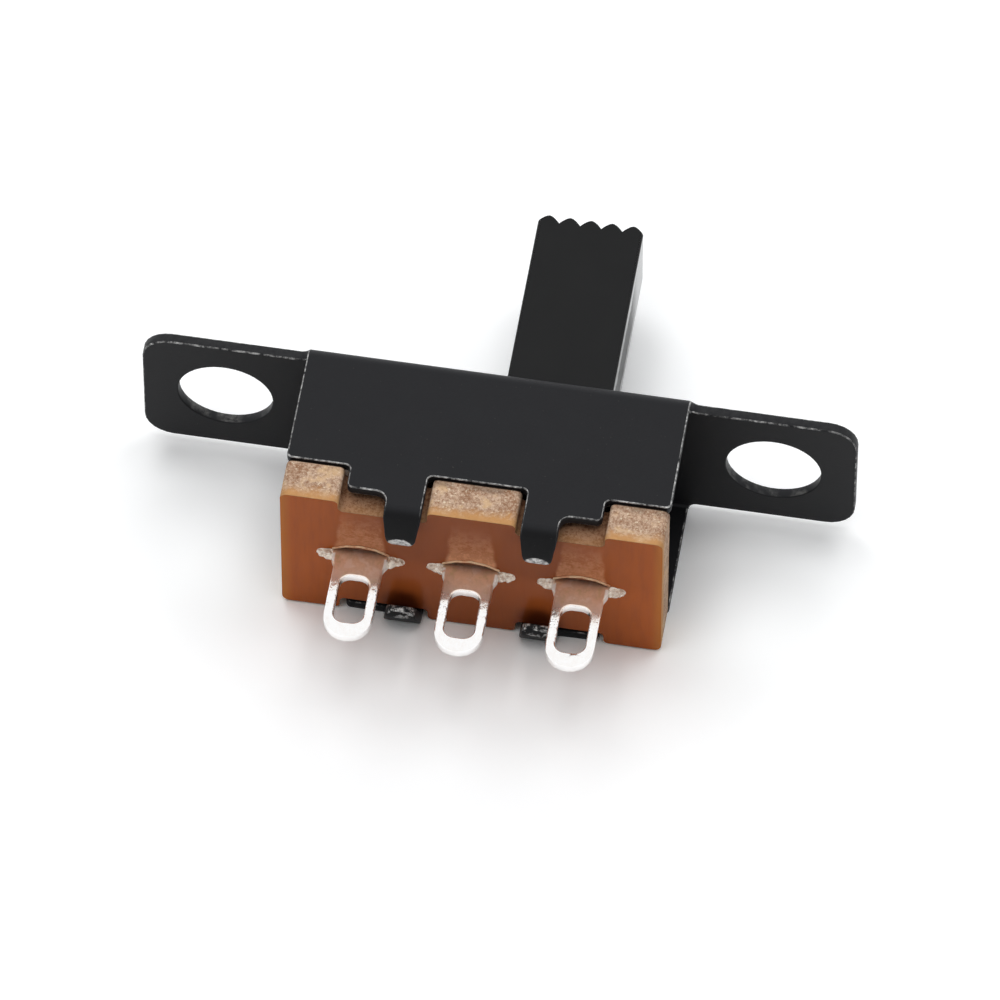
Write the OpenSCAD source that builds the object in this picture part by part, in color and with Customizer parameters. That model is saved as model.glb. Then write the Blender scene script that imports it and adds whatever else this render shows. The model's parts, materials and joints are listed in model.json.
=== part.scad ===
// Miniature slide switch with a long handle, three solder terminals and two panel ears.
// X runs along the travel, Y out of the panel along the handle, Z across the body.
// The origin lies midway between the ear holes, on the face that meets the panel.

/* [Frame] */
// Length over both ears
frame_length = 19.5; // [18.5:0.1:21]
// Width of the ears
ear_width = 4.4; // [3.6:0.1:4.5]
// Corner radius of the ears
ear_corner = 0.8; // [0.3:0.1:1.2]
// Distance between the two ear holes
hole_pitch = 15; // [14.5:0.1:15.5]
// Diameter of the ear holes
hole_dia = 2.6; // [2:0.1:3]
// Thickness of the steel sheet
sheet = 0.3; // [0.2:0.05:0.4]
// Length of the folded body
body_length = 10.4; // [10:0.1:11]
// Width over the side walls
body_width = 5.2; // [5.1:0.1:6]
// Inner radius of the folds
fold_radius = 0.1; // [0.05:0.05:0.2]
// Radius where an ear runs into the body
ear_fillet = 0.25; // [0.1:0.05:0.35]
// Panel face to the edge that seats on the board
wall_height = 3.7; // [3.5:0.1:4.4]
// Length of the wall's plain part at each end
wall_end = 1.75; // [1.5:0.05:1.9]
// Length of the shoulder beside each tab
step_length = 1.1; // [0.8:0.05:1.2]
// Drop of the upper wall's shoulders below the seating edge
step_drop = 0.7; // [0.4:0.05:0.8]
// Drop of the lower wall's shoulders, which run on to the board's face
under_drop = 1.14; // [1:0.02:1.16]
// Width of a crimp tab
tab_width = 1.0; // [0.8:0.05:1.1]
// Width of that tab at its tip
tab_tip_width = 0.74; // [0.6:0.02:0.78]
// Length of a tab past its bend
tab_length = 0.85; // [0.6:0.05:0.95]
// Lean of the crimped tabs over the board
tab_angle = 65; // [58:1:70]
// Corner radius at the tab tips
tab_corner = 0.2; // [0.1:0.02:0.28]
// Depth of the flat struck on a tab's tip
tab_struck = 0.12; // [0.04:0.02:0.16]
// Corner radius in the wall's outline
wall_corner = 0.15; // [0.05:0.05:0.25]
// Radius between a shoulder and its tab
tab_fillet = 0.3; // [0.1:0.05:0.4]

/* [Base board] */
// Thickness of the laminate
board_thickness = 1.2; // [1:0.1:1.6]
// How far the board stops short of the body at each end
board_end_inset = 0.02; // [0.02:0.01:0.2]
// How far the lugs stop short of the outer wall faces
lug_inset = 0.05; // [0.02:0.01:0.15]
// Side clearance of the lugs in the walls' notches
lug_clearance = 0.15; // [0.08:0.01:0.18]
// Gap from the walls' inner faces to the recessed board edge
recess_gap = 0.2; // [0.1:0.05:0.3]
// Depth and inset of the relief along the seated edges
edge_relief = 0.08; // [0.04:0.01:0.12]
// Radius of the board's four outer corners
board_corner = 0.2; // [0.1:0.05:0.4]
// Clearance round a terminal in its slot
slot_clearance = 0.03; // [0.02:0.01:0.06]
// Rise of the slot's bowed upper side
slot_bow = 0.06; // [0.03:0.01:0.12]
// Height of the raised lip along that side
lip_height = 0.05; // [0.03:0.01:0.1]

/* [Terminals] */
// Distance between terminals
terminal_pitch = 3.0; // [2.9:0.1:3.1]
// Offset of the terminal row from the mid-plane
terminal_offset = 0.1; // [0:0.05:0.2]
// Thickness of the terminal strip
terminal_thickness = 0.3; // [0.2:0.05:0.4]
// Width of the neck through the board
neck_width = 1.5; // [1.46:0.02:1.6]
// Full-width length of the neck outside the board
neck_length = 0.25; // [0.15:0.05:0.3]
// Length of the taper from the neck to the loop
neck_taper = 0.2; // [0.1:0.05:0.3]
// Distance from the board to the solder eye
eye_start = 0.75; // [0.6:0.05:0.9]
// Width of the solder loop
loop_width = 1.32; // [1.3:0.02:1.46]
// Width of the solder eye
eye_width = 0.82; // [0.6:0.02:0.9]
// Length of the solder eye
eye_length = 1.5; // [1.2:0.05:1.8]
// Corner radius of the solder eye
eye_corner = 0.3; // [0.15:0.05:0.38]
// Metal past the end of the eye
loop_end = 0.45; // [0.3:0.05:0.6]
// Width of the shoulder on the inner face of the board
shoulder_width = 2.2; // [2:0.1:2.5]
// Height of that shoulder
shoulder_height = 0.35; // [0.2:0.05:0.6]
// Width of the contact blade
blade_width = 1.9; // [1.7:0.1:1.98]
// Height of the blade above the board
blade_height = 1.75; // [1.5:0.05:1.85]
// Radius of the staked beads beside the neck
stake_radius = 0.2; // [0.12:0.01:0.22]

/* [Slider] */
// Travel from end to end
travel = 3.0; // [2.8:0.1:3.2]
// Width of the handle along the travel
handle_width = 2.9; // [2.6:0.05:3]
// Thickness of the handle
handle_thickness = 2.2; // [1.8:0.1:2.4]
// Reach of the handle past the panel face
handle_reach = 6.25; // [4:0.25:9]
// Corner radius of the handle's long edges
handle_corner = 0.06; // [0.04:0.01:0.2]
// Number of ridges across the tip
ridges = 5; // [3:1:7]
// Depth of the valleys between the ridges
ridge_depth = 0.22; // [0.1:0.01:0.25]
// Clearance at each end of the handle's slot
end_clearance = 0.05; // [0.02:0.01:0.1]
// Clearance on each side of the handle in its slot
side_clearance = 0.08; // [0.05:0.01:0.12]
// Length of the carriage
carriage_length = 6.2; // [5.6:0.1:6.6]
// Thickness of the carriage plate
carriage_thickness = 1.0; // [0.9:0.05:1.1]
// Running clearance between the carriage and what guides it
running_clearance = 0.08; // [0.05:0.01:0.12]
// Thickness of the two runners
runner_thickness = 0.5; // [0.4:0.05:0.6]
// Corner radius of the carriage and its runners
runner_corner = 0.25; // [0.1:0.05:0.35]

/* [Contact clip] */
// Thickness of the spring strip
strip = 0.2; // [0.15:0.01:0.25]
// Width of each finger
finger_width = 1.2; // [1:0.05:1.4]
// Half width of the clip at its folds
clip_half_width = 0.62; // [0.55:0.01:0.7]
// Gap between a finger and the blade
contact_gap = 0.02; // [0.01:0.01:0.03]
// Distance from the spine to the contact line
contact_drop = 1.3; // [1.1:0.05:1.4]
// Length of the flared finger ends
flare_length = 0.3; // [0.2:0.05:0.4]
// Spread of the flared finger ends
flare_spread = 0.18; // [0.1:0.02:0.24]
// Radius of the stud that carries the clip
stud_radius = 0.3; // [0.2:0.02:0.34]
// Radius of the stud's upset head
stud_head_radius = 0.48; // [0.42:0.02:0.5]
// Thickness of the upset head
stud_head = 0.14; // [0.1:0.01:0.16]

/* [Hidden] */
$fn = 48;

ARC_STEPS = 6;
RIDGE_STEPS = 10;
RIDGE_POWER = 1.6;
CUT = 1;

fold_outer = fold_radius + sheet;
fold_start = body_width / 2 - fold_outer;
wall_inner = body_width / 2 - sheet;
body_end = body_length / 2;
step_outer = body_end - wall_end;
tab_outer = step_outer - step_length;
tab_inner = tab_outer - tab_width;

board_inner = wall_height;
board_outer = board_inner + board_thickness;
board_end = body_end - board_end_inset;
lug_edge = body_width / 2 - lug_inset;
recess_edge = wall_inner - recess_gap;
slot_half = neck_width / 2 + slot_clearance;
slot_side = terminal_thickness / 2 + slot_clearance;
slot_arc = (slot_half * slot_half + slot_bow * slot_bow) / (2 * slot_bow);

// The bend starts where the leaning tab just bears on the board's recessed edge.
tab_gap = 0.01;
tab_axis = wall_inner - fold_radius;
tab_bite = tab_axis + fold_radius * cos(tab_angle) - recess_edge - tab_gap;
tab_start = board_outer - fold_radius * sin(tab_angle) - tab_bite / tan(tab_angle);

eye_top = board_outer + eye_start;
eye_end = eye_top + eye_length;
terminal_tip = eye_end + loop_end;

slider_rest = travel / 2;
slot_length = handle_width + travel + 2 * end_clearance;
slot_width = handle_thickness + 2 * side_clearance;
carriage_top = sheet + running_clearance;
carriage_under = carriage_top + carriage_thickness;
runner_outer = wall_inner - running_clearance;
runner_foot = board_inner - running_clearance;

clip_spine = carriage_under + strip / 2;
contact_half = terminal_thickness / 2 + contact_gap + strip / 2;

// Turns one corner of an outline into an arc; at = [x, y, radius]
function corner_arc(before, at, after) =
    let (
        p = [at[0], at[1]],
        to_before = [before[0], before[1]] - p,
        to_after = [after[0], after[1]] - p,
        u = to_before / norm(to_before),
        v = to_after / norm(to_after),
        half = acos(u * v) / 2,
        centre = p + (u + v) / norm(u + v) * at[2] / sin(half),
        first = p + u * at[2] / tan(half) - centre,
        last = p + v * at[2] / tan(half) - centre,
        start = atan2(first[1], first[0]),
        turn = atan2(last[1], last[0]) - start,
        sweep = turn > 180 ? turn - 360 : turn < -180 ? turn + 360 : turn
    )
    [for (k = [0 : ARC_STEPS])
        centre + at[2] * [cos(start + sweep * k / ARC_STEPS), sin(start + sweep * k / ARC_STEPS)]];

// Closed outline through corners given as [x, y, radius]
function outline(corners) =
    let (n = len(corners))
    [for (i = [0 : n - 1])
        each (corners[i][2] > 0
            ? corner_arc(corners[(i + n - 1) % n], corners[i], corners[(i + 1) % n])
            : [[corners[i][0], corners[i][1]]])];

// The same corners seen in a mirror across x = 0, listed backwards
function mirrored(corners) = [for (i = [len(corners) - 1 : -1 : 0])
    [-corners[i][0], corners[i][1], corners[i][2]]];

// The same corners seen in a mirror across y = 0, listed backwards
function flipped(corners) = [for (i = [len(corners) - 1 : -1 : 0])
    [corners[i][0], -corners[i][1], corners[i][2]]];

// Plate drawn in the XZ plane, from y = -deep up to y = -deep + thick
module flat_plate(deep, thick) {
    translate([0, -deep, 0])
        rotate([90, 0, 0])
            mirror([0, 0, 1])
                linear_extrude(thick)
                    children();
}

module mirror_copy(axis) {
    children();
    mirror(axis) children();
}

/* ---- frame: one folded sheet ---- */

module ear_outline() {
    end = frame_length / 2;
    side = ear_width / 2;
    mirror_copy([1, 0])
        polygon(outline([
            [0, -side, 0], [end, -side, ear_corner], [end, side, ear_corner], [0, side, 0]
        ]));
    translate([-body_end, -fold_start]) square([body_length, 2 * fold_start]);
}

// Part of a round bend in the sheet, swept about the X axis from an angle above +Y
module bend(outer, length, from, angle) {
    rotate([90, 0, 90])
        rotate([0, 0, from])
            rotate_extrude(angle = angle)
                translate([outer - sheet, 0])
                    square([sheet, length]);
}

module side_fold() {
    translate([-body_end, -fold_outer, fold_start])
        bend(fold_outer, body_length, 0, 90);
}

// Fillet where an ear runs into the body; it follows the sheet round the fold
module ear_root() {
    translate([body_end, 0, 0])
        intersection() {
            union() {
                translate([0, -sheet, 0]) cube([ear_fillet, sheet, fold_start]);
                translate([0, -fold_outer, fold_start]) bend(fold_outer, ear_fillet, 0, 90);
            }
            flat_plate(fold_outer, fold_outer)
                translate([0, ear_width / 2])
                    difference() {
                        square(ear_fillet);
                        translate([ear_fillet, ear_fillet]) circle(ear_fillet);
                    }
        }
}

// Wall with its shoulders this far below the seating edge, and its tabs' bend at start
module wall_outline(drop, start) {
    seat = -wall_height;
    step = seat - drop;
    half = concat(
        [[tab_inner, seat, wall_corner], [tab_inner, -start, 0]],
        start + step > 0
            ? [[tab_outer, -start, 0], [tab_outer, step, min(tab_fillet, start + step)]]
            : [],
        [
            [step_outer, step, wall_corner],
            [step_outer, seat, wall_corner],
            [body_end, seat, wall_corner],
            [body_end, -fold_outer, 0]
        ]
    );
    polygon(outline(concat(half, mirrored(half))));
}

// Tapered tab that leans in over the board, with a flat struck on its tip
module crimp_tab(start) {
    half = tab_width / 2;
    tip = tab_tip_width / 2;
    reach = fold_outer * sin(tab_angle) + tab_length * cos(tab_angle) - tab_struck;
    translate([(tab_inner + tab_outer) / 2, -start, tab_axis])
        intersection() {
            union() {
                translate([-half, 0, 0]) bend(fold_outer, tab_width, 90, tab_angle);
                rotate([tab_angle, 0, 0])
                    translate([0, 0, fold_radius])
                        linear_extrude(sheet)
                            polygon(outline([
                                [-half, 0, 0],
                                [-tip, -tab_length, tab_corner],
                                [tip, -tab_length, tab_corner],
                                [half, 0, 0]
                            ]));
            }
            translate([-half, -reach, -tab_axis])
                cube([tab_width, reach, body_width]);
        }
}

// Side wall with its fold and its pair of tabs
module side_wall(drop, start) {
    side_fold();
    translate([0, 0, wall_inner])
        linear_extrude(sheet) wall_outline(drop, start);
    mirror_copy([1, 0, 0]) crimp_tab(start);
}

module frame() {
    color([0.19, 0.19, 0.2])
    difference() {
        union() {
            flat_plate(sheet, sheet) ear_outline();
            mirror_copy([1, 0, 0]) mirror_copy([0, 0, 1]) ear_root();
            side_wall(step_drop, tab_start);
            mirror([0, 0, 1]) side_wall(under_drop, max(tab_start, wall_height + under_drop));
        }
        for (side = [-1, 1])
            translate([side * hole_pitch / 2, CUT, 0])
                rotate([90, 0, 0])
                    cylinder(d = hole_dia, h = sheet + 2 * CUT);
        translate([-slot_length / 2, -sheet - CUT, -slot_width / 2])
            cube([slot_length, sheet + 2 * CUT, slot_width]);
    }
}

/* ---- base board: punched laminate ---- */

// The board's outline, with the edges under the walls drawn in by a margin
module board_outline(margin) {
    mid = tab_inner - lug_clearance;
    lug = step_outer + lug_clearance;
    edge = lug_edge - margin;
    recess = recess_edge - margin;
    quarter = [
        [mid, edge, wall_corner],
        [mid, recess, wall_corner],
        [lug, recess, wall_corner],
        [lug, edge, wall_corner],
        [board_end, edge, board_corner]
    ];
    half = concat(quarter, flipped(quarter));
    polygon(outline(concat(half, mirrored(half))));
}

// Section of a slot, its upper side bowed and all of it grown upwards by a margin
module slot_section(margin) {
    intersection() {
        translate([-slot_half, -slot_side]) square([2 * slot_half, 2 * slot_side + slot_arc]);
        translate([0, slot_side + slot_bow - slot_arc]) circle(slot_arc + margin, $fn = 96);
    }
}

module terminal_slot() {
    translate([0, -board_inner + CUT, terminal_offset])
        rotate([90, 0, 0])
            linear_extrude(board_thickness + 2 * CUT) slot_section(0);
}

// Bowed burr that the punch leaves above a slot
module slot_lip() {
    translate([0, -board_outer, terminal_offset])
        rotate([90, 0, 0])
            linear_extrude(lip_height)
                intersection() {
                    slot_section(lip_height);
                    translate([-slot_half, slot_side]) square([2 * slot_half, slot_arc]);
                }
}

module base_board() {
    color([0.66, 0.36, 0.18])
    difference() {
        union() {
            flat_plate(board_outer, board_thickness - edge_relief) board_outline(0);
            flat_plate(board_inner + edge_relief, edge_relief) board_outline(edge_relief);
            for (place = [-1 : 1])
                translate([place * terminal_pitch, 0, 0]) slot_lip();
        }
        for (place = [-1 : 1])
            translate([place * terminal_pitch, 0, 0]) terminal_slot();
    }
}

/* ---- terminals: flat strip with a solder eye ---- */

module terminal_outline() {
    blade_top = -board_inner + blade_height;
    shoulder_top = -board_inner + shoulder_height;
    half = [
        [loop_width / 2, -terminal_tip, loop_width / 2 - 0.01],
        [loop_width / 2, -board_outer - neck_length - neck_taper, neck_taper],
        [neck_width / 2, -board_outer - neck_length, 0],
        [neck_width / 2, -board_inner, 0],
        [shoulder_width / 2, -board_inner, 0],
        [shoulder_width / 2, shoulder_top, shoulder_height / 3],
        [blade_width / 2, shoulder_top, 0],
        [blade_width / 2, blade_top, shoulder_height / 2]
    ];
    difference() {
        polygon(outline(concat(half, mirrored(half))));
        polygon(outline([
            [eye_width / 2, -eye_end, eye_corner],
            [eye_width / 2, -eye_top, eye_corner],
            [-eye_width / 2, -eye_top, eye_corner],
            [-eye_width / 2, -eye_end, eye_corner]
        ]));
    }
}

// Metal staked outwards onto the board's face beside the neck
module stake_bead() {
    small = stake_radius * 0.85;
    low = terminal_offset - terminal_thickness / 2;
    intersection() {
        translate([neck_width / 2, -board_outer, low + stake_radius / 2]) {
            translate([stake_radius / 2, 0, 0]) sphere(stake_radius);
            translate([stake_radius * 1.4, 0, 0]) sphere(small);
        }
        translate([0, -board_outer - CUT, -body_width / 2])
            cube([terminal_pitch, CUT, body_width]);
    }
}

module terminal(place) {
    color([0.8, 0.8, 0.82])
    translate([place * terminal_pitch, 0, 0]) {
        translate([0, 0, terminal_offset - terminal_thickness / 2])
            linear_extrude(terminal_thickness) terminal_outline();
        mirror_copy([1, 0, 0]) stake_bead();
    }
}

/* ---- slider: one moulding, handle and carriage ---- */

// How far the tip lies below a ridge's crest, from 0 at the crest to 1 in the valley
function ridge_drop(along) = pow(abs(1 - 2 * (along - floor(along))), RIDGE_POWER);

// Side view of the handle, its tip cut into rounded ridges
module handle_profile() {
    steps = RIDGE_STEPS * ridges;
    tip = [for (i = [steps : -1 : 0])
        [handle_width * (i / steps - 0.5), handle_reach - ridge_depth * ridge_drop(i / RIDGE_STEPS)]];
    polygon(concat([
        [-handle_width / 2, -carriage_top],
        [handle_width / 2, -carriage_top]
    ], tip));
}

module handle() {
    wide = handle_width / 2;
    thick = handle_thickness / 2;
    tall = handle_reach + carriage_top;
    intersection() {
        translate([0, 0, -thick])
            linear_extrude(2 * thick) handle_profile();
        flat_plate(carriage_top, tall)
            polygon(outline([
                [wide, -thick, handle_corner],
                [wide, thick, handle_corner],
                [-wide, thick, handle_corner],
                [-wide, -thick, handle_corner]
            ]));
    }
}

module carriage_plan() {
    half = [
        [carriage_length / 2, -runner_outer, runner_corner],
        [carriage_length / 2, runner_outer, runner_corner]
    ];
    polygon(outline(concat(half, mirrored(half))));
}

module runner() {
    half = [
        [carriage_length / 2, -carriage_top, 0],
        [carriage_length / 2, -runner_foot, runner_corner]
    ];
    translate([0, 0, runner_outer - runner_thickness])
        linear_extrude(runner_thickness)
            polygon(outline(concat(mirrored(half), half)));
}

module slider() {
    color([0.17, 0.17, 0.17])
    translate([slider_rest, 0, 0]) {
        handle();
        intersection() {
            union() {
                flat_plate(carriage_under, carriage_thickness)
                    carriage_plan();
                mirror_copy([0, 0, 1]) runner();
            }
            flat_plate(runner_foot, runner_foot - carriage_top)
                carriage_plan();
        }
        translate([0, -carriage_under, terminal_offset])
            rotate([90, 0, 0]) {
                cylinder(r = stud_radius, h = strip);
                translate([0, 0, strip])
                    cylinder(r = stud_head_radius, h = stud_head);
            }
    }
}

/* ---- contact clip: folded spring strip that pinches two blades ---- */

module strip_run(points) {
    for (i = [0 : len(points) - 2]) {
        step = points[i + 1] - points[i];
        translate(points[i]) {
            rotate(atan2(step[1], step[0]))
                translate([0, -strip / 2]) square([norm(step), strip]);
            circle(d = strip);
        }
    }
    translate(points[len(points) - 1]) circle(d = strip);
}

module clip_section() {
    arm = [
        [0, 0],
        [clip_half_width, 0],
        [contact_half, -contact_drop],
        [contact_half + flare_spread, -contact_drop - flare_length]
    ];
    mirror_copy([1, 0]) strip_run(arm);
}

module contact_clip() {
    clip_length = terminal_pitch + finger_width;
    gap = terminal_pitch - finger_width;
    deep = contact_drop + flare_length + 2 * strip;
    color([0.8, 0.6, 0.3])
    translate([slider_rest, -clip_spine, terminal_offset])
        difference() {
            translate([-clip_length / 2, 0, 0])
                rotate([90, 0, 90])
                    linear_extrude(clip_length)
                        rotate(-90) clip_section();
            translate([-gap / 2, -deep - strip, -body_width / 2])
                cube([gap, deep, body_width]);
            rotate([90, 0, 0])
                cylinder(r = stud_radius + slot_clearance, h = 2 * CUT, center = true);
        }
}

frame();
base_board();
terminal(-1);  // terminal_left
terminal(0);  // terminal_centre
terminal(1);  // terminal_right
slider();
contact_clip();
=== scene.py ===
# %% [markdown]
# # Dressing a miniature slide switch
#
# The switch is a folded, blackened steel frame with two ears. It holds a brown laminate
# board with three bright solder terminals, and a black moulded slider whose long handle
# stands out of the panel side. The sizes are settled in the solid model. This file loads
# that model and gives it what a solid model lacks: softened edges, finishes and light.

import json
import math

import bmesh
import bpy
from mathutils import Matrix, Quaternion, Vector, noise

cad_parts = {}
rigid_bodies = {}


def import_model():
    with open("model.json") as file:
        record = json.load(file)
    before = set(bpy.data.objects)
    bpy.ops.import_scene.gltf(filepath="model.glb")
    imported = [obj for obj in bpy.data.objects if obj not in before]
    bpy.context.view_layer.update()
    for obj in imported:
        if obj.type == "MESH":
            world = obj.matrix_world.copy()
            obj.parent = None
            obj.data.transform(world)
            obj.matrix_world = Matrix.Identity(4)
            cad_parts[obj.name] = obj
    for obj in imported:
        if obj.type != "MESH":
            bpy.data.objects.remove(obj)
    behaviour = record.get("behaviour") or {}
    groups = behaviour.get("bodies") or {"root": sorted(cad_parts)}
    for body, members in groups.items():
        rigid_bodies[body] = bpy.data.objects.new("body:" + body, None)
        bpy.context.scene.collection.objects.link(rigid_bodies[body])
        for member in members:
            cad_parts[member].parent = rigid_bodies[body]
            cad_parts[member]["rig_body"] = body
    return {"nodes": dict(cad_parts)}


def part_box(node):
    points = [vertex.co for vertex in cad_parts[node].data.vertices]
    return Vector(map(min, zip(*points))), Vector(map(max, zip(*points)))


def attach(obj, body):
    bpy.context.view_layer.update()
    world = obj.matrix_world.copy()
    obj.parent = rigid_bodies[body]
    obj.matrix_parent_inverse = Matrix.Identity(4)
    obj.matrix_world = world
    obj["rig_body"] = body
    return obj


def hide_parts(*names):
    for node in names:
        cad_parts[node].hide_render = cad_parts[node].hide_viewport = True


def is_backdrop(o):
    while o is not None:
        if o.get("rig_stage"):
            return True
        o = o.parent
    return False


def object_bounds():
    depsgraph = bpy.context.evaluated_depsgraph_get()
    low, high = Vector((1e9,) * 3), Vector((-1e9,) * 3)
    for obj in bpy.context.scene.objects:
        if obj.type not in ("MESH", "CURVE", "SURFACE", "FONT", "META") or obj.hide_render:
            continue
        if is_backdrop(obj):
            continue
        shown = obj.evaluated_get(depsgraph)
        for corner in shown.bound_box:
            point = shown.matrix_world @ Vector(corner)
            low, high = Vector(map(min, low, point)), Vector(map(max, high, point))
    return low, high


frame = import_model()
nodes = frame["nodes"]
cad_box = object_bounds()
MM = 0.001

# %% [markdown]
# ## Reading places from the solids
#
# Every finish needs to know where it is: how far a face lies from the board's edge, or
# where a tab ends. The outer places are read from the boxes of the solids, so that a
# changed size moves the finish with it. Places that no box shows, such as the middle of an
# ear's hole, are written down as in the drawing. X runs from ear to ear, Y from the
# terminals to the handle, and Z is up.

# %% Places on the switch, in millimetres


def box_mm(node):
    """Lowest and highest corner of a solid, in millimetres."""
    low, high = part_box(node)
    return low / MM, high / MM


frame_low = box_mm("frame")[0]
board_low, board_high = box_mm("base_board")
terminal_high = box_mm("terminal_centre")[1]

# The frame: the side it lies on, the walls' seat on the board, the tabs and the ears.
FLOOR = frame_low.z
SEAT = -3.7
TAB_TIP = frame_low.y
TAB_CENTRE = 1.85
EAR_START = 5.3
HOLE_PLACE = 7.5
HOLE_RADIUS = 1.3

# The terminals, their slots and the lip above each slot.
TERMINAL_PITCH = 3.0
TERMINAL_TOP = terminal_high.z
NECK_HALF = 0.75
SLOT_HALF = 0.8
LIP = 0.05
LIP_HALF = 0.78

# The board: its front face, the edge of its lugs and its end.
BOARD_FACE = board_low.y + LIP
LUG_EDGE = board_high.z
BOARD_END = board_high.x
print("board face at", round(BOARD_FACE, 3), "and tab tips at", round(TAB_TIP, 3), "mm")

# %% [markdown]
# ## The camera
#
# Seen from close by, the terminals would look much larger than the handle behind them. A
# long lens from far away keeps the parallel edges of a small part nearly parallel. The
# camera stands well above the table, in front of the terminals and a little to the right.
# Its direction is a compass angle and a height angle, and its place is a point on the
# switch plus a distance along that direction. The lamps are placed in the same way later,
# so two helpers serve both.

# %% Place something so that it faces a point


def direction(turn, height):
    """Direction from two angles in degrees; turn 0 is in front and 90 is at +X."""
    turn, height = math.radians(turn), math.radians(height)
    return Vector((math.sin(turn) * math.cos(height),
                   -math.cos(turn) * math.cos(height),
                   math.sin(height)))


def stand_off(thing, point, towards, distance, roll=0.0):
    """Adds a camera or a lamp to the scene, at a distance from the point that it faces."""
    thing.location = point + towards * distance
    thing.rotation_mode = "QUATERNION"
    level = towards.to_track_quat("Z", "Y")
    thing.rotation_quaternion = level @ Quaternion((0, 0, 1), roll)
    bpy.context.scene.collection.objects.link(thing)
    print(thing.name, "stands", round(distance / MM, 1), "mm from what it faces")


# %% Camera
AIM = Vector((0.1504, -1.0, -2.2058)) * MM
CAMERA_TURN = 9.1971
CAMERA_HEIGHT = 56.2326
CAMERA_ROLL = math.radians(0.0945)
CAMERA_DISTANCE = 347.5 * MM
LENS = 461.2
SENSOR = 36.0

camera_data = bpy.data.cameras.new("camera")
camera_data.lens = LENS
camera_data.sensor_width = SENSOR
camera_data.clip_start = 10 * MM
camera_data.clip_end = 10.0
camera = bpy.data.objects.new("camera", camera_data)
stand_off(camera, AIM, direction(CAMERA_TURN, CAMERA_HEIGHT), CAMERA_DISTANCE, CAMERA_ROLL)
bpy.context.scene.camera = camera

# %% [markdown]
# ## Shader maths as Python
#
# A finish is a small network of nodes. Wiring it by hand hides the idea, so one class
# wraps a socket and lets it be added, multiplied and compared like a number. Each use of
# an operator adds one Math node. The method that matters most is ramp, which turns a
# distance or a noise into a mask: 0 where a pattern is absent, 1 where it is full.

# %% A socket that can be calculated with


class Wire:
    """A shader socket that takes part in Python expressions."""

    def __init__(self, tree, socket):
        self.tree = tree
        self.socket = socket

    def math(self, operation, *others):
        values = dict(enumerate((self, *others)))
        return wire_node(self.tree, "ShaderNodeMath", {"operation": operation}, values)

    def __add__(self, other):
        return self.math("ADD", other)

    __radd__ = __add__

    def __mul__(self, other):
        return self.math("MULTIPLY", other)

    __rmul__ = __mul__

    def __sub__(self, other):
        return self.math("SUBTRACT", other)

    def __rsub__(self, other):
        return (self * -1.0) + other

    def __truediv__(self, other):
        return self.math("DIVIDE", other)

    def __abs__(self):
        return self.math("ABSOLUTE")

    def least(self, other):
        return self.math("MINIMUM", other)

    def most(self, other):
        return self.math("MAXIMUM", other)

    def root(self):
        return self.math("SQRT")

    def sign(self):
        return self.math("SIGN")

    def ramp(self, low, high):
        """0 below low, 1 above high, smooth between; low may be the larger."""
        if low > high:
            return 1.0 - self.ramp(high, low)
        settings = {"interpolation_type": "SMOOTHSTEP"}
        values = {"Value": self, "From Min": low, "From Max": high}
        return wire_node(self.tree, "ShaderNodeMapRange", settings, values)


# %% [markdown]
# Every node of every finish comes from one function. It sets the node up and fills its
# sockets, with a link where the value is a wire and with a plain number where it isn't.

# %% Add a node


def wire_node(tree, kind, settings=None, values=None, output=0):
    """Adds a node, sets it up, fills its sockets and returns one output as a Wire."""
    made = tree.nodes.new(kind)
    for name, value in (settings or {}).items():
        setattr(made, name, value)
    for name, value in (values or {}).items():
        socket = made.inputs[name]
        if isinstance(value, Wire):
            tree.links.new(value.socket, socket)
        else:
            socket.default_value = value
    return Wire(tree, made.outputs[output])


# %% [markdown]
# A second class holds one material while it is built. It knows the place on the switch in
# millimetres and the way that the surface faces, because nearly every pattern here starts
# from one of the two. Patterns could be painted on an image instead. That would need the
# pieces unwrapped, and the grain would blur from close by, so they are calculated.

# %% A material under construction
# Where a mix node keeps its factor, its two colours and the mixed colour.
MIX_FACTOR, MIX_LOW, MIX_HIGH, MIXED = 0, 6, 7, 2


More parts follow.
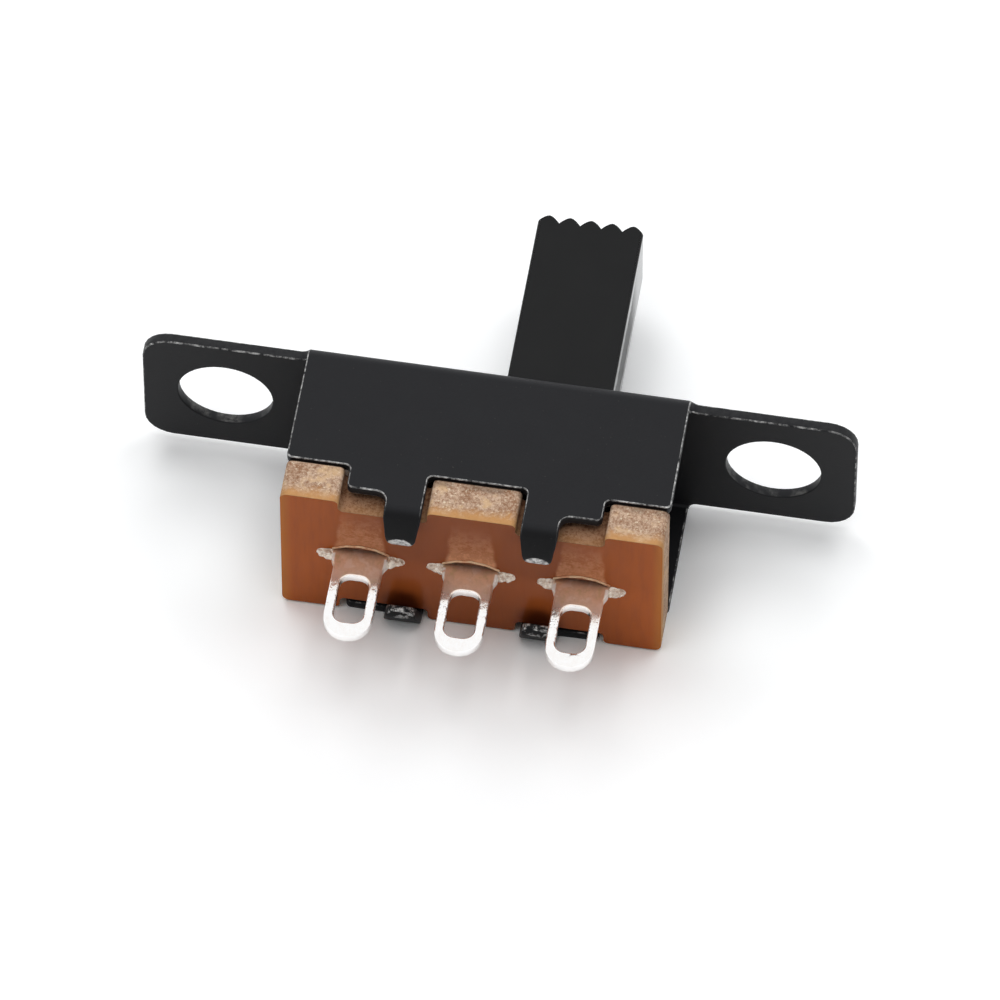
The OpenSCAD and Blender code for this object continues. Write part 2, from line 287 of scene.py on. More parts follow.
class Finish:
    """A material with its main shader, and the patterns that finishes share.

    Plain values for the main shader's sockets are given with the name.
    """

    def __init__(self, name, **fixed):
        self.name = name
        self.material = bpy.data.materials.new(name)
        self.material.use_nodes = True
        self.tree = self.material.node_tree
        self.shader = self.tree.nodes["Principled BSDF"]
        for socket, value in fixed.items():
            self.shader.inputs[socket.replace("_", " ")].default_value = value
        place = self.node("ShaderNodeTexCoord", output="Object")
        self.place = self.node("ShaderNodeVectorMath", {"operation": "SCALE"},
                               {0: place, "Scale": 1 / MM})
        self.x, self.y, self.z = (self.part(self.place, i) for i in range(3))
        facing = self.node("ShaderNodeTexCoord", output="Normal")
        self.nx, self.ny, self.nz = (self.part(facing, i) for i in range(3))

    def node(self, kind, settings=None, values=None, output=0):
        """Adds a node to this material."""
        return wire_node(self.tree, kind, settings, values, output)

    def part(self, vector, index):
        """The X, Y or Z part of a vector."""
        return self.node("ShaderNodeSeparateXYZ", None, {0: vector}, index)

    def stretched(self, x=1.0, y=1.0, z=1.0):
        """The place, stretched so that a pattern on it runs along one direction."""
        return self.node("ShaderNodeVectorMath", {"operation": "MULTIPLY"},
                         {0: self.place, 1: (x, y, z)})

    def noise(self, scale, detail=2.0, rough=0.5, place=None):
        """A cloudy pattern from 0 to 1; scale is about its lumps to a millimetre."""
        values = {"Vector": place or self.place, "Scale": scale, "Detail": detail,
                  "Roughness": rough}
        return self.node("ShaderNodeTexNoise", None, values)

    def blend(self, factor, low, high):
        """One colour where factor is 0, another where it is 1."""
        low, high = (end if isinstance(end, Wire) else (*end, 1.0) for end in (low, high))
        return self.node("ShaderNodeMix", {"data_type": "RGBA"},
                         {MIX_FACTOR: factor, MIX_LOW: low, MIX_HIGH: high}, MIXED)

    def relief(self, height, depth, strength):
        """Surface normal for a height pattern; depth is in millimetres."""
        values = {"Height": height, "Distance": depth * MM, "Strength": strength}
        return self.node("ShaderNodeBump", None, values)

    def use(self, **links):
        """Feeds the main shader, and returns the material."""
        for socket, wire in links.items():
            self.tree.links.new(wire.socket, self.shader.inputs[socket.replace("_", " ")])
        print(self.name, "is a network of", len(self.tree.nodes), "nodes")
        return self.material


# %% [markdown]
# ## Softened edges
#
# A solid model has perfectly sharp edges. Real sheet metal, punched board and mouldings
# have small radii there, and those radii catch the light as thin bright lines. A bevel
# modifier would round every edge alike, the inner corners too. So each piece is copied,
# its triangles are merged back into flat faces, and only the outer corners get a small
# bevel. The bevel's faces are marked with an attribute, so that a finish can show bare
# metal where an edge has rubbed.

# %% Merge the triangles and round the outer corners
ARRIS = "arris"
SHARP = math.radians(35.0)
NEARLY_FLAT = math.radians(1)
SAME_PLACE = MM * 1e-4
BEVEL_STEPS = 2


def merged_faces(node):
    """A copy of a solid's mesh, with its triangles merged back into flat faces."""
    shape = bmesh.new()
    shape.from_mesh(nodes[node].data)
    bmesh.ops.remove_doubles(shape, verts=shape.verts, dist=SAME_PLACE)
    bmesh.ops.dissolve_limit(shape, angle_limit=NEARLY_FLAT, verts=shape.verts,
                             edges=shape.edges, delimit={"NORMAL"})
    return shape


def round_corners(shape, radius, left_sharp):
    """Bevels the outer corners, apart from those left sharp, and marks the new faces."""
    shape.normal_update()
    arrises = [e for e in shape.edges
               if e.is_manifold and e.calc_face_angle_signed() > SHARP]
    if left_sharp:
        arrises = [e for e in arrises
                   if not left_sharp((e.verts[0].co + e.verts[1].co) / 2 / MM)]
    to_bevel = set(arrises)
    for edge in shape.edges:
        edge.smooth = edge in to_bevel or edge.calc_face_angle(0.0) < SHARP
    mark = shape.faces.layers.float.new(ARRIS)
    made = bmesh.ops.bevel(shape, geom=arrises, offset=radius * MM, offset_type="OFFSET",
                           segments=BEVEL_STEPS, profile=0.5, affect="EDGES", material=-1,
                           clamp_overlap=False)
    for face in made["faces"]:
        face[mark] = 1.0
    for face in shape.faces:
        face.smooth = True
    return len(arrises)


# %% [markdown]
# The copy takes the solid's place and rides on the same body, so that it moves with the
# joint. It is shaded smooth for the sake of the bevels. Weighted normals then give each
# flat face its true, flat shading back. Every piece is dressed in the same way: a softened
# copy and a finish on it. Where a piece needs more, reshape changes its mesh before the
# bevels, and left_sharp spares some corners.

# %% Stand a softened copy in for a solid


def soften(node, radius, left_sharp=None, reshape=None):
    """A copy of a solid with its sharp edges rounded, standing in for it."""
    shape = merged_faces(node)
    if reshape:
        reshape(shape)
    softened = round_corners(shape, radius, left_sharp)
    mesh = bpy.data.meshes.new(node + "_softened")
    shape.to_mesh(mesh)
    shape.free()
    piece = bpy.data.objects.new(node + "_softened", mesh)
    bpy.context.scene.collection.objects.link(piece)
    weighted = piece.modifiers.new("flat faces stay flat", "WEIGHTED_NORMAL")
    weighted.mode = "FACE_AREA"
    weighted.keep_sharp = True
    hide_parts(node)
    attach(piece, nodes[node]["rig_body"])
    print(piece.name, softened, "edges softened,", len(mesh.polygons), "faces")
    return piece


def finish_off(piece, material):
    """Puts a finish on a piece."""
    piece.data.materials.append(material)


# %% [markdown]
# ## Blackened steel
#
# The frame is mild steel with a black oxide finish. It is satin, slightly mottled, and
# almost colourless. What makes it look like steel is its wear, and each kind of wear has a
# helper that says, from 0 to 1, where it lies. A last helper lays the kinds over the oxide
# one by one. The first kind is the greyer smear that the shear leaves on the ears' edges
# and the punch leaves inside their holes.

# %% Scuffed cuts


def from_ear_hole(steel):
    """Distance outwards from the edge of the nearest ear hole."""
    across = abs(steel.x) - HOLE_PLACE
    return (across * across + steel.z * steel.z).root() - HOLE_RADIUS


def scuffed_cuts(steel):
    """Greyer smears on the sheared edge of the ears and inside the punched holes."""
    from_hole = from_ear_hole(steel)
    on_cut = 1.0 - abs(steel.ny).ramp(0.3, 0.6)
    bore = from_hole.ramp(0.1, 0.05) * steel.noise(1.6, 2.0).ramp(0.42, 0.6)
    edge = abs(steel.x).ramp(EAR_START, EAR_START + 0.2) * from_hole.ramp(0.1, 0.2) * 0.1
    patchy = steel.noise(6.0, 3.0, 0.7).ramp(0.25, 0.7)
    return on_cut * (bore * 0.8).most(edge) * patchy


# %% [markdown]
# Where the sheet was sheared, the outer corner is rubbed through to bare metal in a thin,
# broken line. The marked bevels say where a corner is, and a noise breaks the line up. The
# ears, the sides of the tabs and the lower wall are handled less, so their line is weaker.

# %% Rubbed edges


def rubbed_edges(steel):
    """Broken lines of bare metal on sheared corners, clear of the holes and tab ends."""
    arris = steel.node("ShaderNodeAttribute", {"attribute_name": ARRIS}, output="Fac")
    clear_of_tip = steel.y.ramp(TAB_TIP + 0.25, TAB_TIP + 0.85)
    clear = from_ear_hole(steel).ramp(0.12, 0.2) * clear_of_tip
    ear = abs(steel.x).ramp(EAR_START - 0.05, EAR_START + 0.05)
    tab_side = abs(steel.nx).ramp(0.3, 0.6) * steel.y.ramp(SEAT - 0.2, SEAT - 0.5)
    lower = steel.z.ramp(-1.0, -2.0)
    wear = steel.noise(3.5, 4.0, 0.75) - ear * 0.06 - tab_side * 0.12 - lower * 0.1
    return arris * clear * wear.ramp(0.34, 0.62) * (1.0 - ear * 0.25)


# %% [markdown]
# Four tabs are crimped over the board's face, and the punch scrapes the oxide off where it
# strikes them. The upper two end in a bright, ragged crescent. The lower two were struck
# more lightly, and show thin veins. An ellipse on each tab gives the crescent its place,
# and a noise added to it tears its outline.

# %% Struck tips
CRESCENT_HEIGHT = 1.52
CRESCENT_HALF_WIDTH = 0.34
CRESCENT_HALF_HEIGHT = 0.3


def struck_tips(steel):
    """Bright crescents and veins that the crimping punch leaves on the ends of the tabs."""
    beyond = steel.y.ramp(BOARD_FACE - 0.2, BOARD_FACE - 0.24)
    squarely = steel.ny.ramp(-0.6, -0.9)
    across = (abs(steel.x) - TAB_CENTRE) / CRESCENT_HALF_WIDTH
    along = (abs(steel.z) - CRESCENT_HEIGHT) / CRESCENT_HALF_HEIGHT
    ragged = across * across + along * along + steel.noise(8.0, 3.0, 0.7) * 0.9
    upper = steel.z.ramp(-0.1, 0.1)
    crescent = upper * ragged.ramp(1.55, 1.3)
    line = abs(steel.noise(2.2, 3.0, 0.6) - 0.5).ramp(0.06, 0.01)
    veins = (1.0 - upper) * line * ragged.ramp(2.2, 1.6) * 0.6
    end = steel.nz * steel.z.sign()
    sheared = end.ramp(-0.2, -0.38) * steel.noise(6.0, 3.0, 0.7).ramp(0.45, 0.65)
    return beyond * (squarely * crescent.most(veins)).most(sheared)


# %% [markdown]
# The oxide itself is a slow change between two blacks, with painted shade on the crimped
# tabs, which face away from the light, and a few specks of dust. Rubbed places are real
# metal: there the shader's metallic share goes up with the mask, and so does the grain.

# %% Blacken the frame
OXIDE_DARK = (0.0138, 0.0141, 0.0158)
OXIDE_LIGHT = (0.0172, 0.0176, 0.0194)
CRIMPED_TAB_SHADE = (0.004, 0.004, 0.0045)
DUST = (0.16, 0.15, 0.13)
SMEAR = (0.125, 0.125, 0.122)
BARE_DULL = (0.17, 0.17, 0.17)
BARE_BRIGHT = (0.72, 0.72, 0.71)


def blackened_steel():
    """Black oxide, worn to bare metal on the sheared corners and the struck tabs."""
    steel = Finish("blackened_steel", Specular_IOR_Level=0.12)
    cloud = steel.noise(0.8, 3.0, 0.6)
    grain = steel.noise(22.0, 3.0, 0.6)
    black = steel.blend(cloud, OXIDE_DARK, OXIDE_LIGHT)
    # Painted shade: the crimped tabs face away from the light, so they are painted darker.
    bent_tab_shade = steel.y.ramp(BOARD_FACE + 0.3, BOARD_FACE + 0.1) * steel.ny.ramp(-0.25, -0.7)
    black = steel.blend(bent_tab_shade * 0.8, black, CRIMPED_TAB_SHADE)
    speck = steel.noise(19.0, 1.0).ramp(0.76, 0.84)
    black = steel.blend(speck * 0.25, black, DUST)
    black = steel.blend(scuffed_cuts(steel), black, SMEAR)
    rubbed = rubbed_edges(steel).most(struck_tips(steel))
    tone = steel.noise(9.0, 3.0, 0.7)
    bare = steel.blend(tone.ramp(0.3, 0.7), BARE_DULL, BARE_BRIGHT)
    colour = steel.blend(rubbed, black, bare)
    rough = cloud * 0.1 + 0.42
    height = grain * (rubbed * 2.0 + 1.0)
    return steel.use(Base_Color=colour, Metallic=rubbed, Roughness=rough,
                     Normal=steel.relief(height, 0.006, 0.5))


finish_off(soften("frame", radius=0.035), blackened_steel())

# %% [markdown]
# ## Laminate
#
# The board is paper soaked in phenolic resin and pressed into sheet. Its rolled faces are
# glossy and orange brown, and its punched edges show torn, pale, speckled paper. One
# material serves both: the way that a face points tells a rolled face from a cut edge.
# A dark line of painted shadow runs along the lugs where the steel walls seat, with a
# patchy darker band beside it.

# %% Painted shadow at the walls' seat


def seat_shadow_and_dark_band(board):
    """Painted shadow on the lugs at the walls' seat, with a patchy darker band, least at
    the left.
    """
    patchy = board.noise(1.3, 2.0).ramp(0.3, 0.55) * (board.x.ramp(-3.2, -2.2) * 0.8 + 0.2)
    # Painted shadow: a dark line in the gap where the steel walls seat on the lugs.
    line = board.y.ramp(SEAT - 0.09, SEAT - 0.05)
    dark_band = (board.y + board.noise(6.0, 2.0) * 0.12).ramp(SEAT - 0.28, SEAT - 0.12) * 0.5
    return line.most(dark_band * patchy)


# %% [markdown]
# Torn paper is not one colour. Two colours are mixed by a fine noise, with light and dark
# flecks over them. The lugs stand out and are pale, while the recesses between them are
# browner and smoother. Near the front face, the resin has soaked the paper amber. That
# border wanders, because noise is added to the distance before it becomes a mask.

# %% Torn edges
PALE_DARK = (0.295, 0.157, 0.090)
PALE_LIGHT = (0.625, 0.455, 0.337)
PALE_FLECK = (0.95, 0.86, 0.66)
DARK_FLECK = (0.15, 0.07, 0.035)
STRAW = (0.64, 0.41, 0.20)
BROWN_DARK = (0.17, 0.072, 0.036)
BROWN_LIGHT = (0.37, 0.205, 0.118)
BROWN_FLECK = (0.08, 0.03, 0.014)
SEAT_SHADOW_AND_BAND = (0.05, 0.032, 0.022)
AMBER = (0.56, 0.29, 0.112)


def torn_edge(board):
    """Pale speckled paper on the punched edges, browner and smoother in the recesses."""
    broad = board.noise(2.6, 3.0, 0.6)
    speck = board.noise(11.0, 4.0, 0.8) * 0.65 + broad * 0.35
    fleck = board.noise(17.0, 2.0, 0.6)
    mixed = speck.ramp(0.38, 0.60)
    dark_fleck = fleck.ramp(0.38, 0.29) * 0.6
    pale = board.blend(mixed, PALE_DARK, PALE_LIGHT)
    pale = board.blend(fleck.ramp(0.60, 0.70) * 0.6, pale, PALE_FLECK)
    pale = board.blend(dark_fleck, pale, DARK_FLECK)
    pale = board.blend(broad.ramp(0.5, 0.7) * 0.55, pale, STRAW)
    brown = board.blend(mixed, BROWN_DARK, BROWN_LIGHT)
    brown = board.blend(dark_fleck, brown, BROWN_FLECK)
    depth = abs(board.z).ramp(LUG_EDGE - 0.1, LUG_EDGE - 0.35)
    inner = abs(board.x).ramp(BOARD_END - 0.05, BOARD_END - 0.3)
    torn = board.blend(depth * inner, pale, brown)
    # Painted shadow at the walls' seat and the darker band beside it, kept off the
    # recesses.
    torn = board.blend(seat_shadow_and_dark_band(board) * (1.0 - depth), torn, SEAT_SHADOW_AND_BAND)
    soaked = board.y + (speck - 0.5) * 0.45 + (broad - 0.5) * 0.5
    near_face = soaked.ramp(BOARD_FACE + 0.42, BOARD_FACE + 0.04) * 0.9
    return board.blend(near_face * (1.0 - depth * inner * 0.75), torn, AMBER)


# %% [markdown]
# The terminals were forced through slots that fit them tightly. Above each slot the front
# face is painted paler, a painted reflection of the bright terminal and of the light that
# it throws back, strongly at first and then in a fainter, mottled strip. The three slots
# are alike, so one distance, to the middle of the nearest terminal, places the pattern on
# all three.

# %% Painted reflection above the slots


def from_terminal(finish):
    """Distance along X from the middle of the nearest terminal."""
    return abs(finish.x).least(abs(abs(finish.x) - TERMINAL_PITCH))


def terminal_reflection_patch(board):
    """A paler painted reflection of the terminal on the face above each slot."""
    rise = board.z - TERMINAL_TOP
    beside = from_terminal(board) + board.noise(2.0, 2.0) * 0.2 + rise * 0.08
    inside = beside.ramp(NECK_HALF * 1.12, NECK_HALF * 0.95) * rise.ramp(-0.02, 0.02)
    mottle = board.noise(5.0, 4.0, 0.75)
    centre = abs(board.x).ramp(1.2, 1.0)
    strong = (rise + mottle * 1.6 - centre * 0.25).ramp(1.5, 0.7)
    weak = (rise + mottle * 0.6).ramp(2.5, 0.9) * (mottle.ramp(0.35, 0.65) * 0.45 + 0.15)
    return inside * strong.most(weak)


# %% [markdown]
# The face is a deeper brown in the middle and more orange towards the ends, with faint
# streaks from rolling. It darkens round the lower tabs, where the frame keeps light out.
# Lamps alone would leave those places too light, because the resin is a little clear and
# light gets lost in it. A clear shader would take long to render, so colour does the work.

# %% Rolled face
RESIN_MIDDLE = (0.325, 0.079, 0.018)
RESIN_END = (0.49, 0.109, 0.013)
RESIN_STREAK = (0.26, 0.060, 0.016)
RESIN_LIT_BY_TERMINAL = (0.80, 0.38, 0.21)
RESIN_RIM = (0.62, 0.215, 0.028)
RESIN_SHADED = (0.10, 0.018, 0.006)
SHADE_RISE = 0.45
SHADE_HALF_WIDTH = 0.75
SHADE_HALF_HEIGHT = 0.95


def rolled_face(board):
    """Orange brown resin, more orange at the ends and darker round the lower tabs."""
    cloud = board.noise(0.7, 3.0)
    streak = board.noise(2.2, 3.0, 0.6, board.stretched(3.0, 1.0, 0.35))
    end = (abs(board.x) + (cloud - 0.5) * 1.5).ramp(2.2, 5.0)
    flat = board.blend(end, RESIN_MIDDLE, RESIN_END)
    flat = board.blend(streak.ramp(0.35, 0.8) * 0.3, flat, RESIN_STREAK)
    # Painted reflection: the face above each slot is lightened where the terminal is
    # mirrored.
    flat = board.blend(terminal_reflection_patch(board), flat, RESIN_LIT_BY_TERMINAL)
    rim = abs(board.x).ramp(BOARD_END - 0.35, BOARD_END) * 0.6
    flat = board.blend(rim, flat, RESIN_RIM)
    beside = (abs(board.x) - TAB_CENTRE) / SHADE_HALF_WIDTH
    below = (board.z + LUG_EDGE - SHADE_RISE) / SHADE_HALF_HEIGHT
    shade = (beside * beside + below * below).root().ramp(1.1, 0.4)
    return board.blend(shade * 0.8, flat, RESIN_SHADED)


# %% [markdown]
# Inside the slots the walls are painted dark, as painted shade in the narrow gaps. The lip
# that bows up above a slot is a fresh, pale burr on its front, brightened as a painted
# highlight, and dark behind. With these the material is complete: cut edges are rough and
# fibrous, and rolled faces are smooth and glossy.

# %% Laminate
SLOT_SHADE = (0.16, 0.045, 0.018)
BURR_HIGHLIGHT_DARK = (0.80, 0.40, 0.22)
BURR_HIGHLIGHT_LIGHT = (1.0, 0.74, 0.48)
BEHIND_LIP = (0.30, 0.10, 0.05)
SLOT_REACH = 0.4


def laminate():
    """Resin-soaked paper with glossy faces and torn edges; lips get a painted highlight,
    slots painted shade.
    """
    board = Finish("laminate", Specular_IOR_Level=0.12)
    slot = from_terminal(board).ramp(SLOT_HALF + 0.04, SLOT_HALF)
    above_or_below = abs(board.z - TERMINAL_TOP)
    slot_top = slot * above_or_below.ramp(SLOT_REACH + 0.05, SLOT_REACH)
    face = abs(board.ny).ramp(0.75, 0.95)
    # Painted shade: the walls inside the slots are dark for the shade in the narrow gaps.
    edge = board.blend(slot_top, torn_edge(board), SLOT_SHADE)
    colour = board.blend(face, edge, rolled_face(board))
    lip = slot_top * board.y.ramp(BOARD_FACE - 0.002, BOARD_FACE - 0.012)
    # Partly a pale burr, partly a painted highlight along the lip's front.
    burr_and_highlight = board.blend(board.noise(4.0, 2.0).ramp(0.3, 0.6), BURR_HIGHLIGHT_DARK, BURR_HIGHLIGHT_LIGHT)
    colour = board.blend(lip, colour, burr_and_highlight)
    behind = board.y.ramp(BOARD_FACE + 0.01, BOARD_FACE + 0.03) * slot
    colour = board.blend(behind * face, colour, BEHIND_LIP)
    rough = 0.75 - face * 0.58
    fibres = board.noise(8.0, 4.0, 0.75) * (1.0 - face)
    return board.use(Base_Color=colour, Roughness=rough,
                     Normal=board.relief(fibres, 0.05, 0.7))


# %% [markdown]
# Each lip is a real bow in the board's edge, so it is made in the mesh and not only in the
# shading. The solid has the same lip with a lower bow. Two cuts are made just behind the
# slot's upper edge, and the points in front of them are lifted, so the lip overhangs. The
# corners inside the slots stay sharp, as the punch leaves them.

# %% Bow the lips and dress the board
EXTRA_BOW = 0.19
LIP_DEPTH = 0.03


def from_slot(place):
    """Distance along X from the middle of the nearest slot."""
    return min(abs(place.x - centre) for centre in (-TERMINAL_PITCH, 0.0, TERMINAL_PITCH))


def on_slot_top(place):
    """True on the bowed upper side of a slot, and on the lip in front of it."""
    return from_slot(place) < LIP_HALF + 0.01 and -0.05 < place.z - TERMINAL_TOP < 0.15


def inside_slot(place):
    """True on that upper side behind the board's face."""
    return on_slot_top(place) and place.y > BOARD_FACE + 0.01


def bow_lips(shape):
    """Lifts the front edge of each slot's upper side, most in the middle."""
    for depth in (LIP_DEPTH, LIP_DEPTH + 0.01):
        walls = [f for f in shape.faces if all(on_slot_top(v.co / MM) for v in f.verts)]
        edges = dict.fromkeys(e for f in walls for e in f.edges)
        verts = dict.fromkeys(v for f in walls for v in f.verts)
        bmesh.ops.bisect_plane(shape, geom=[*walls, *edges, *verts], dist=SAME_PLACE,
                               plane_co=(0, (BOARD_FACE + depth) * MM, 0),
                               plane_no=(0, 1, 0))
    lifted = 0
    for vert in shape.verts:
        place = vert.co / MM
        if on_slot_top(place) and place.y < BOARD_FACE + LIP_DEPTH + 0.005:
            bow = max(0.0, 1.0 - (from_slot(place) / LIP_HALF) ** 2)
            vert.co.z += EXTRA_BOW * bow * MM
            lifted += 1
    print(lifted, "points lifted on the lips")


piece = soften("base_board", radius=0.02, left_sharp=inside_slot, reshape=bow_lips)
finish_off(piece, laminate())

# %% [markdown]
# ## Black moulding
#
# The slider is moulded in black plastic, with a fine grain from the mould. Fingers polish
# the two sides of the handle near their edges and towards the tip, and leave the middle
# duller. That shows only in how the sides mirror the room, so it goes into the roughness
# and not into the colour.

# %% Mould the slider
PLASTIC_DARK = (0.0085, 0.0087, 0.0091)
PLASTIC_LIGHT = (0.0112, 0.0115, 0.0119)


def moulding():
    """Black plastic, polished where fingers push the handle."""
    black = Finish("black_moulding", Specular_IOR_Level=0.14)
    cloud = black.noise(0.9, 3.0)
    colour = black.blend(cloud, PLASTIC_DARK, PLASTIC_LIGHT)
    side = abs(black.nx).ramp(0.5, 0.8) * black.y.ramp(0.1, 0.3)
    worn = abs(black.z) + (black.noise(2.5, 3.0, 0.7) - 0.5) * 0.5
    handled = worn.ramp(0.5, 0.8).most(black.y.ramp(3.5, 5.5))
    rough = (cloud * 0.06 + 0.27) * (1.0 + side * (0.3 - handled * 1.05))
    return black.use(Base_Color=colour, Roughness=rough,
                     Normal=black.relief(black.noise(12.0, 3.0), 0.004, 0.4))


finish_off(soften("slider", radius=0.02), moulding())

# %% [markdown]
# ## Contact spring
#
# Inside, a small spring strip of bronze rides on the slider and joins two neighbouring
# terminals. Only a glint of it can be seen through the open ends of the frame. Plain metal
# with a slow change of colour is enough.

# %% Make the contact clip
BRONZE_DARK = (0.72, 0.48, 0.22)
BRONZE_LIGHT = (0.82, 0.58, 0.30)


def spring():
    """Plain bronze."""
    bronze = Finish("contact_spring", Metallic=1.0)
    cloud = bronze.noise(3.0, 2.0)
    colour = bronze.blend(cloud, BRONZE_DARK, BRONZE_LIGHT)
    return bronze.use(Base_Color=colour, Roughness=cloud * 0.1 + 0.22)


finish_off(soften("contact_clip", radius=0.02), spring())

# %% [markdown]
# ## Bright terminals
#
# The terminals are brass strip with a bright silvery plating. They are nearly mirrors, so
# they take the colour of whatever they face: brown near the board, white further out. The
# plating on the necks is handled and tarnished, so that part is rougher and warmer.
#
# The loops are not quite in line with the necks on a real switch, and mirror a brighter
# part of the room. Bending the solids would move the solder eyes. So the height pattern
# gets a gentle slope between the neck and the loop, which leans only their shading.

# %% Colours of the neck
PLATE = (0.98, 0.975, 0.97)
NECK = (0.92, 0.70, 0.53)
TARNISH = (0.70, 0.52, 0.38)
BLOTCH_ROSE = (1.0, 0.83, 0.72)
BLOTCH_OLIVE = (0.70, 0.56, 0.32)
SHADE_BY_THE_LIP = (0.56, 0.33, 0.22)


def neck_colour(silver, handled, tarnish):
    """Silver on the loop, warmer and blotched on the neck, with painted shade by the board.
    """
    colour = silver.blend(handled, PLATE, NECK)
    colour = silver.blend(tarnish * 0.5, colour, TARNISH)
    blotch = silver.noise(3.2, 2.0, 0.6)
    rose = blotch.ramp(0.53, 0.66) * handled * 0.7
    olive = blotch.ramp(0.46, 0.34) * handled * 0.6
    colour = silver.blend(rose, colour, BLOTCH_ROSE)
    colour = silver.blend(olive, colour, BLOTCH_OLIVE)
    # Painted shade: the neck is darkened where it meets the board under the lip.
    shade_near_lip = silver.y.ramp(BOARD_FACE - 0.25, BOARD_FACE - 0.02)
    return silver.blend(shade_near_lip * 0.4, colour, SHADE_BY_THE_LIP)


# %% [markdown]
# A terminal is held because the metal beside its neck is staked outwards into two beads in
# front of the board. Staking shears the corner next to the bead, which leaves a thin, pale,
# broken strip, painted near white as a glint, and crumbles the plating on the bead. Both
# look less metallic than the rest.

# %% Plating
LOOP_LEAN = 19.0
CRUMB_DARK = (0.60, 0.46, 0.36)
CRUMB_LIGHT = (0.97, 0.88, 0.77)
SHORN_GLINT = (0.97, 0.93, 0.88)


def plating():
    """Silvery plating, tarnished on the neck and crumbled on the staked beads."""
    silver = Finish("terminal_plate")
    waves = silver.noise(1.8, 1.0)
    pits = silver.noise(6.0, 3.0, 0.65)
    drawn = silver.noise(4.0, 3.0, 0.65, silver.stretched(1.3, 0.8, 1.0))
    front = silver.ny.ramp(-0.3, -0.7)
    handled = silver.y.ramp(BOARD_FACE - 1.4, BOARD_FACE - 0.4) * (1.0 - front * 0.9)
    tarnish = drawn.ramp(0.36, 0.64) * (handled * 0.85 + 0.15)
    beside = from_terminal(silver)
    staked = silver.y.ramp(BOARD_FACE - 0.5, BOARD_FACE - 0.45)
    bead = beside.ramp(NECK_HALF - 0.02, NECK_HALF + 0.03) * staked
    broken = silver.noise(4.0, 2.0).ramp(0.35, 0.45)
    # Partly a sheared strip, partly a painted glint: the corner below each bead is near
    # white.
    shorn_glint = beside.ramp(NECK_HALF - 0.1, NECK_HALF - 0.07) * broken
    shorn_glint = shorn_glint * staked * silver.y.ramp(BOARD_FACE - 0.08, BOARD_FACE - 0.14)
    crumb = silver.blend(pits.ramp(0.35, 0.65), CRUMB_DARK, CRUMB_LIGHT)
    colour = silver.blend(shorn_glint, neck_colour(silver, handled, tarnish), SHORN_GLINT)
    colour = silver.blend(bead, colour, crumb)
    rough = tarnish * 0.08 + handled * 0.3 + 0.12
    along = silver.y + (drawn - 0.5) * 0.3
    lean = along.ramp(BOARD_FACE - 2.05, BOARD_FACE - 0.95) * LOOP_LEAN
    height = waves + pits * bead * 1.5 + lean
    metal = 1.0 - handled * 0.07 - bead.most(shorn_glint) * 0.7
    return silver.use(Base_Color=colour, Roughness=rough, Metallic=metal,
                      Normal=silver.relief(height, 0.009, 0.5))


# %% [markdown]
# The solid has smooth, even beads. Real ones are torn, so their points are pushed in and
# out by a noise of the place, and drawn down and back towards the board at their outer
# ends. Their faces are shaded flat, which makes them look broken and not polished.

# %% Roughen the beads and dress the terminals
BEAD_REACH = 0.45
BEAD_RISE = 0.05
BEAD_LENGTH = 0.3
BEAD_FLATTENED = 0.4
BEAD_MARGIN = 0.04
TERMINALS = {"terminal_left": -TERMINAL_PITCH, "terminal_centre": 0.0,
             "terminal_right": TERMINAL_PITCH}


def on_bead(place, centre, margin=0.0):
    """True beside the neck and in front of the board, where metal is staked outwards."""
    across = abs(place.x - centre)
    in_front = BOARD_FACE - BEAD_LENGTH < place.y < BOARD_FACE + margin
    return NECK_HALF - margin < across and in_front


def roughen_beads(piece, centre):
    """Pushes the staked beads' surface in and out, so that they look torn and crumbled."""
    shape = bmesh.new()
    shape.from_mesh(piece.data)
    shape.normal_update()
    moved = 0
    for vert in shape.verts:
        place = vert.co / MM
        if on_bead(place, centre) and place.y < BOARD_FACE - 0.01:
            lump = noise.noise(place * 7.0) * 0.07 + noise.noise(place * 16.0) * 0.03
            outwards = (abs(place.x - centre) - NECK_HALF) / BEAD_REACH
            vert.co += vert.normal * lump * MM
            vert.co.z += (BEAD_RISE * MM - vert.co.z) * outwards * BEAD_FLATTENED
            vert.co.y += (BOARD_FACE * MM - vert.co.y) * outwards * BEAD_FLATTENED
            moved += 1
    for face in shape.faces:
        face.smooth = not on_bead(face.calc_center_median() / MM, centre)
    shape.to_mesh(piece.data)
    shape.free()
    print(piece.name, "has", moved, "points moved on its beads")


plate = plating()
for node, centre in TERMINALS.items():
    piece = soften(node, radius=0.045,
                   left_sharp=lambda place: on_bead(place, centre, BEAD_MARGIN))
    roughen_beads(piece, centre)
    finish_off(piece, plate)

# %% [markdown]
# ## Table and light
#
# The switch lies on a white table that shows as pure white, with a soft grey shadow
# close to the part. The table is painted plain white for the light that it throws back on
# the switch. That paint alone would show a little grey. So a second coat is added that
# only the camera and the mirroring metal see, and no more light reaches the switch.

# %% Table
TABLE_SIZE = 4.0
TABLE_PAINT = (0.93, 0.935, 0.94)
TABLE_LIFT = (0.182, 0.190, 0.194)


def seen_or_mirrored(tree):
    """1 for a ray from the camera or off shiny metal, 0 for one that gathers light."""
    seen = wire_node(tree, "ShaderNodeLightPath", output="Is Camera Ray")
    mirrored = wire_node(tree, "ShaderNodeLightPath", output="Is Glossy Ray")
    return seen + mirrored


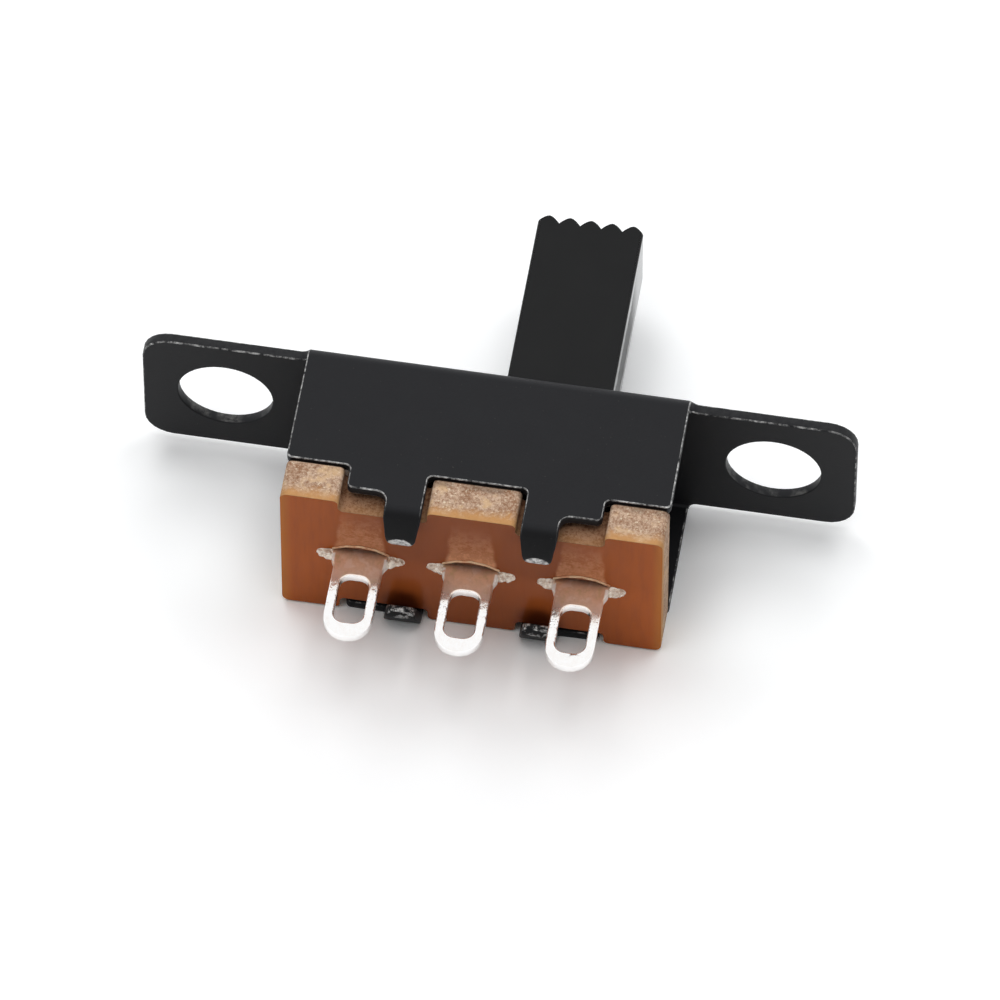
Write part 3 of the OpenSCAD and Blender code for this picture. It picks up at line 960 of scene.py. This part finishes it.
def table():
    """A wide white plane at the level of the side that the switch lies on."""
    bpy.ops.mesh.primitive_plane_add(size=TABLE_SIZE, location=(0, 0, FLOOR * MM))
    plane = bpy.context.object
    plane.name = "table"
    plane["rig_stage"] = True
    paint = Finish("table_white", Base_Color=(*TABLE_PAINT, 1.0), Roughness=0.9,
                   Specular_IOR_Level=0.0)
    extra = paint.blend(seen_or_mirrored(paint.tree), (0.0, 0.0, 0.0), TABLE_LIFT)
    lift = paint.node("ShaderNodeBsdfDiffuse", None, {"Color": extra})
    both = paint.tree.nodes.new("ShaderNodeAddShader")
    out = paint.tree.nodes["Material Output"]
    paint.tree.links.new(paint.shader.outputs[0], both.inputs[0])
    paint.tree.links.new(lift.socket, both.inputs[1])
    paint.tree.links.new(both.outputs[0], out.inputs[0])
    plane.data.materials.append(paint.material)
    print("table", TABLE_SIZE, "m wide, at", round(FLOOR, 3), "mm")


table()

# %% [markdown]
# A ring of four large softboxes and one overhead give soft light from every side, with
# more from the back and the left. Two lower ones, at the back and on the right, draw the
# longer shadows in front of the board and beside it. Several lamps are easier to balance
# than one bright sky, because each draws a soft shadow of its own. The softboxes don't
# show in the bright plating. It mirrors the room around them, an even white that lights
# only weakly.

# %% Light
LAMP_DISTANCE = 0.5
LAMP_SIZE = 0.3
ROOM_LIGHT = 0.077
SOFTBOXES = [("overhead", 0, 90, 0.811), ("front_right", 45, 55, 0.063),
             ("back_right", 135, 55, 0.546), ("back_left", 225, 55, 0.696),
             ("front_left", 315, 55, 0.362), ("low_back", 180, 25, 0.973),
             ("low_right", 90, 25, 0.213)]


def softbox(name, turn, height, watts):
    """A square lamp that faces the switch from two angles in degrees."""
    lamp = bpy.data.lights.new(name, "AREA")
    lamp.shape = "SQUARE"
    lamp.size = LAMP_SIZE
    lamp.energy = watts
    holder = bpy.data.objects.new(name, lamp)
    holder.visible_glossy = False
    stand_off(holder, Vector((0, 0, 0)), direction(turn, height), LAMP_DISTANCE)


def white_room(strength):
    """An even white world that lights at one strength and shows as pure white."""
    world = bpy.data.worlds.new("white_room")
    bpy.context.scene.world = world
    world.use_nodes = True
    tree = world.node_tree
    level = seen_or_mirrored(tree) * (1.0 - strength) + strength
    background = tree.nodes["Background"]
    background.inputs["Color"].default_value = (1.0, 1.0, 1.0, 1.0)
    tree.links.new(level.socket, background.inputs["Strength"])
    print("the room lights at", strength)


white_room(ROOM_LIGHT)
for lamp_settings in SOFTBOXES:
    softbox(*lamp_settings)
bpy.context.scene.view_settings.view_transform = "Standard"

# %% [markdown]
# ## Sizes
#
# Dressing a part must not change its size. The box of the solids and the box of the
# dressed switch are compared, and the largest change between them is printed.

# %% Sizes
final_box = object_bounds()
change = max(abs(a - b) for before, after in zip(cad_box, final_box)
             for a, b in zip(before, after))
print("dressing moved the box by", round(change / MM, 4), "mm at most")
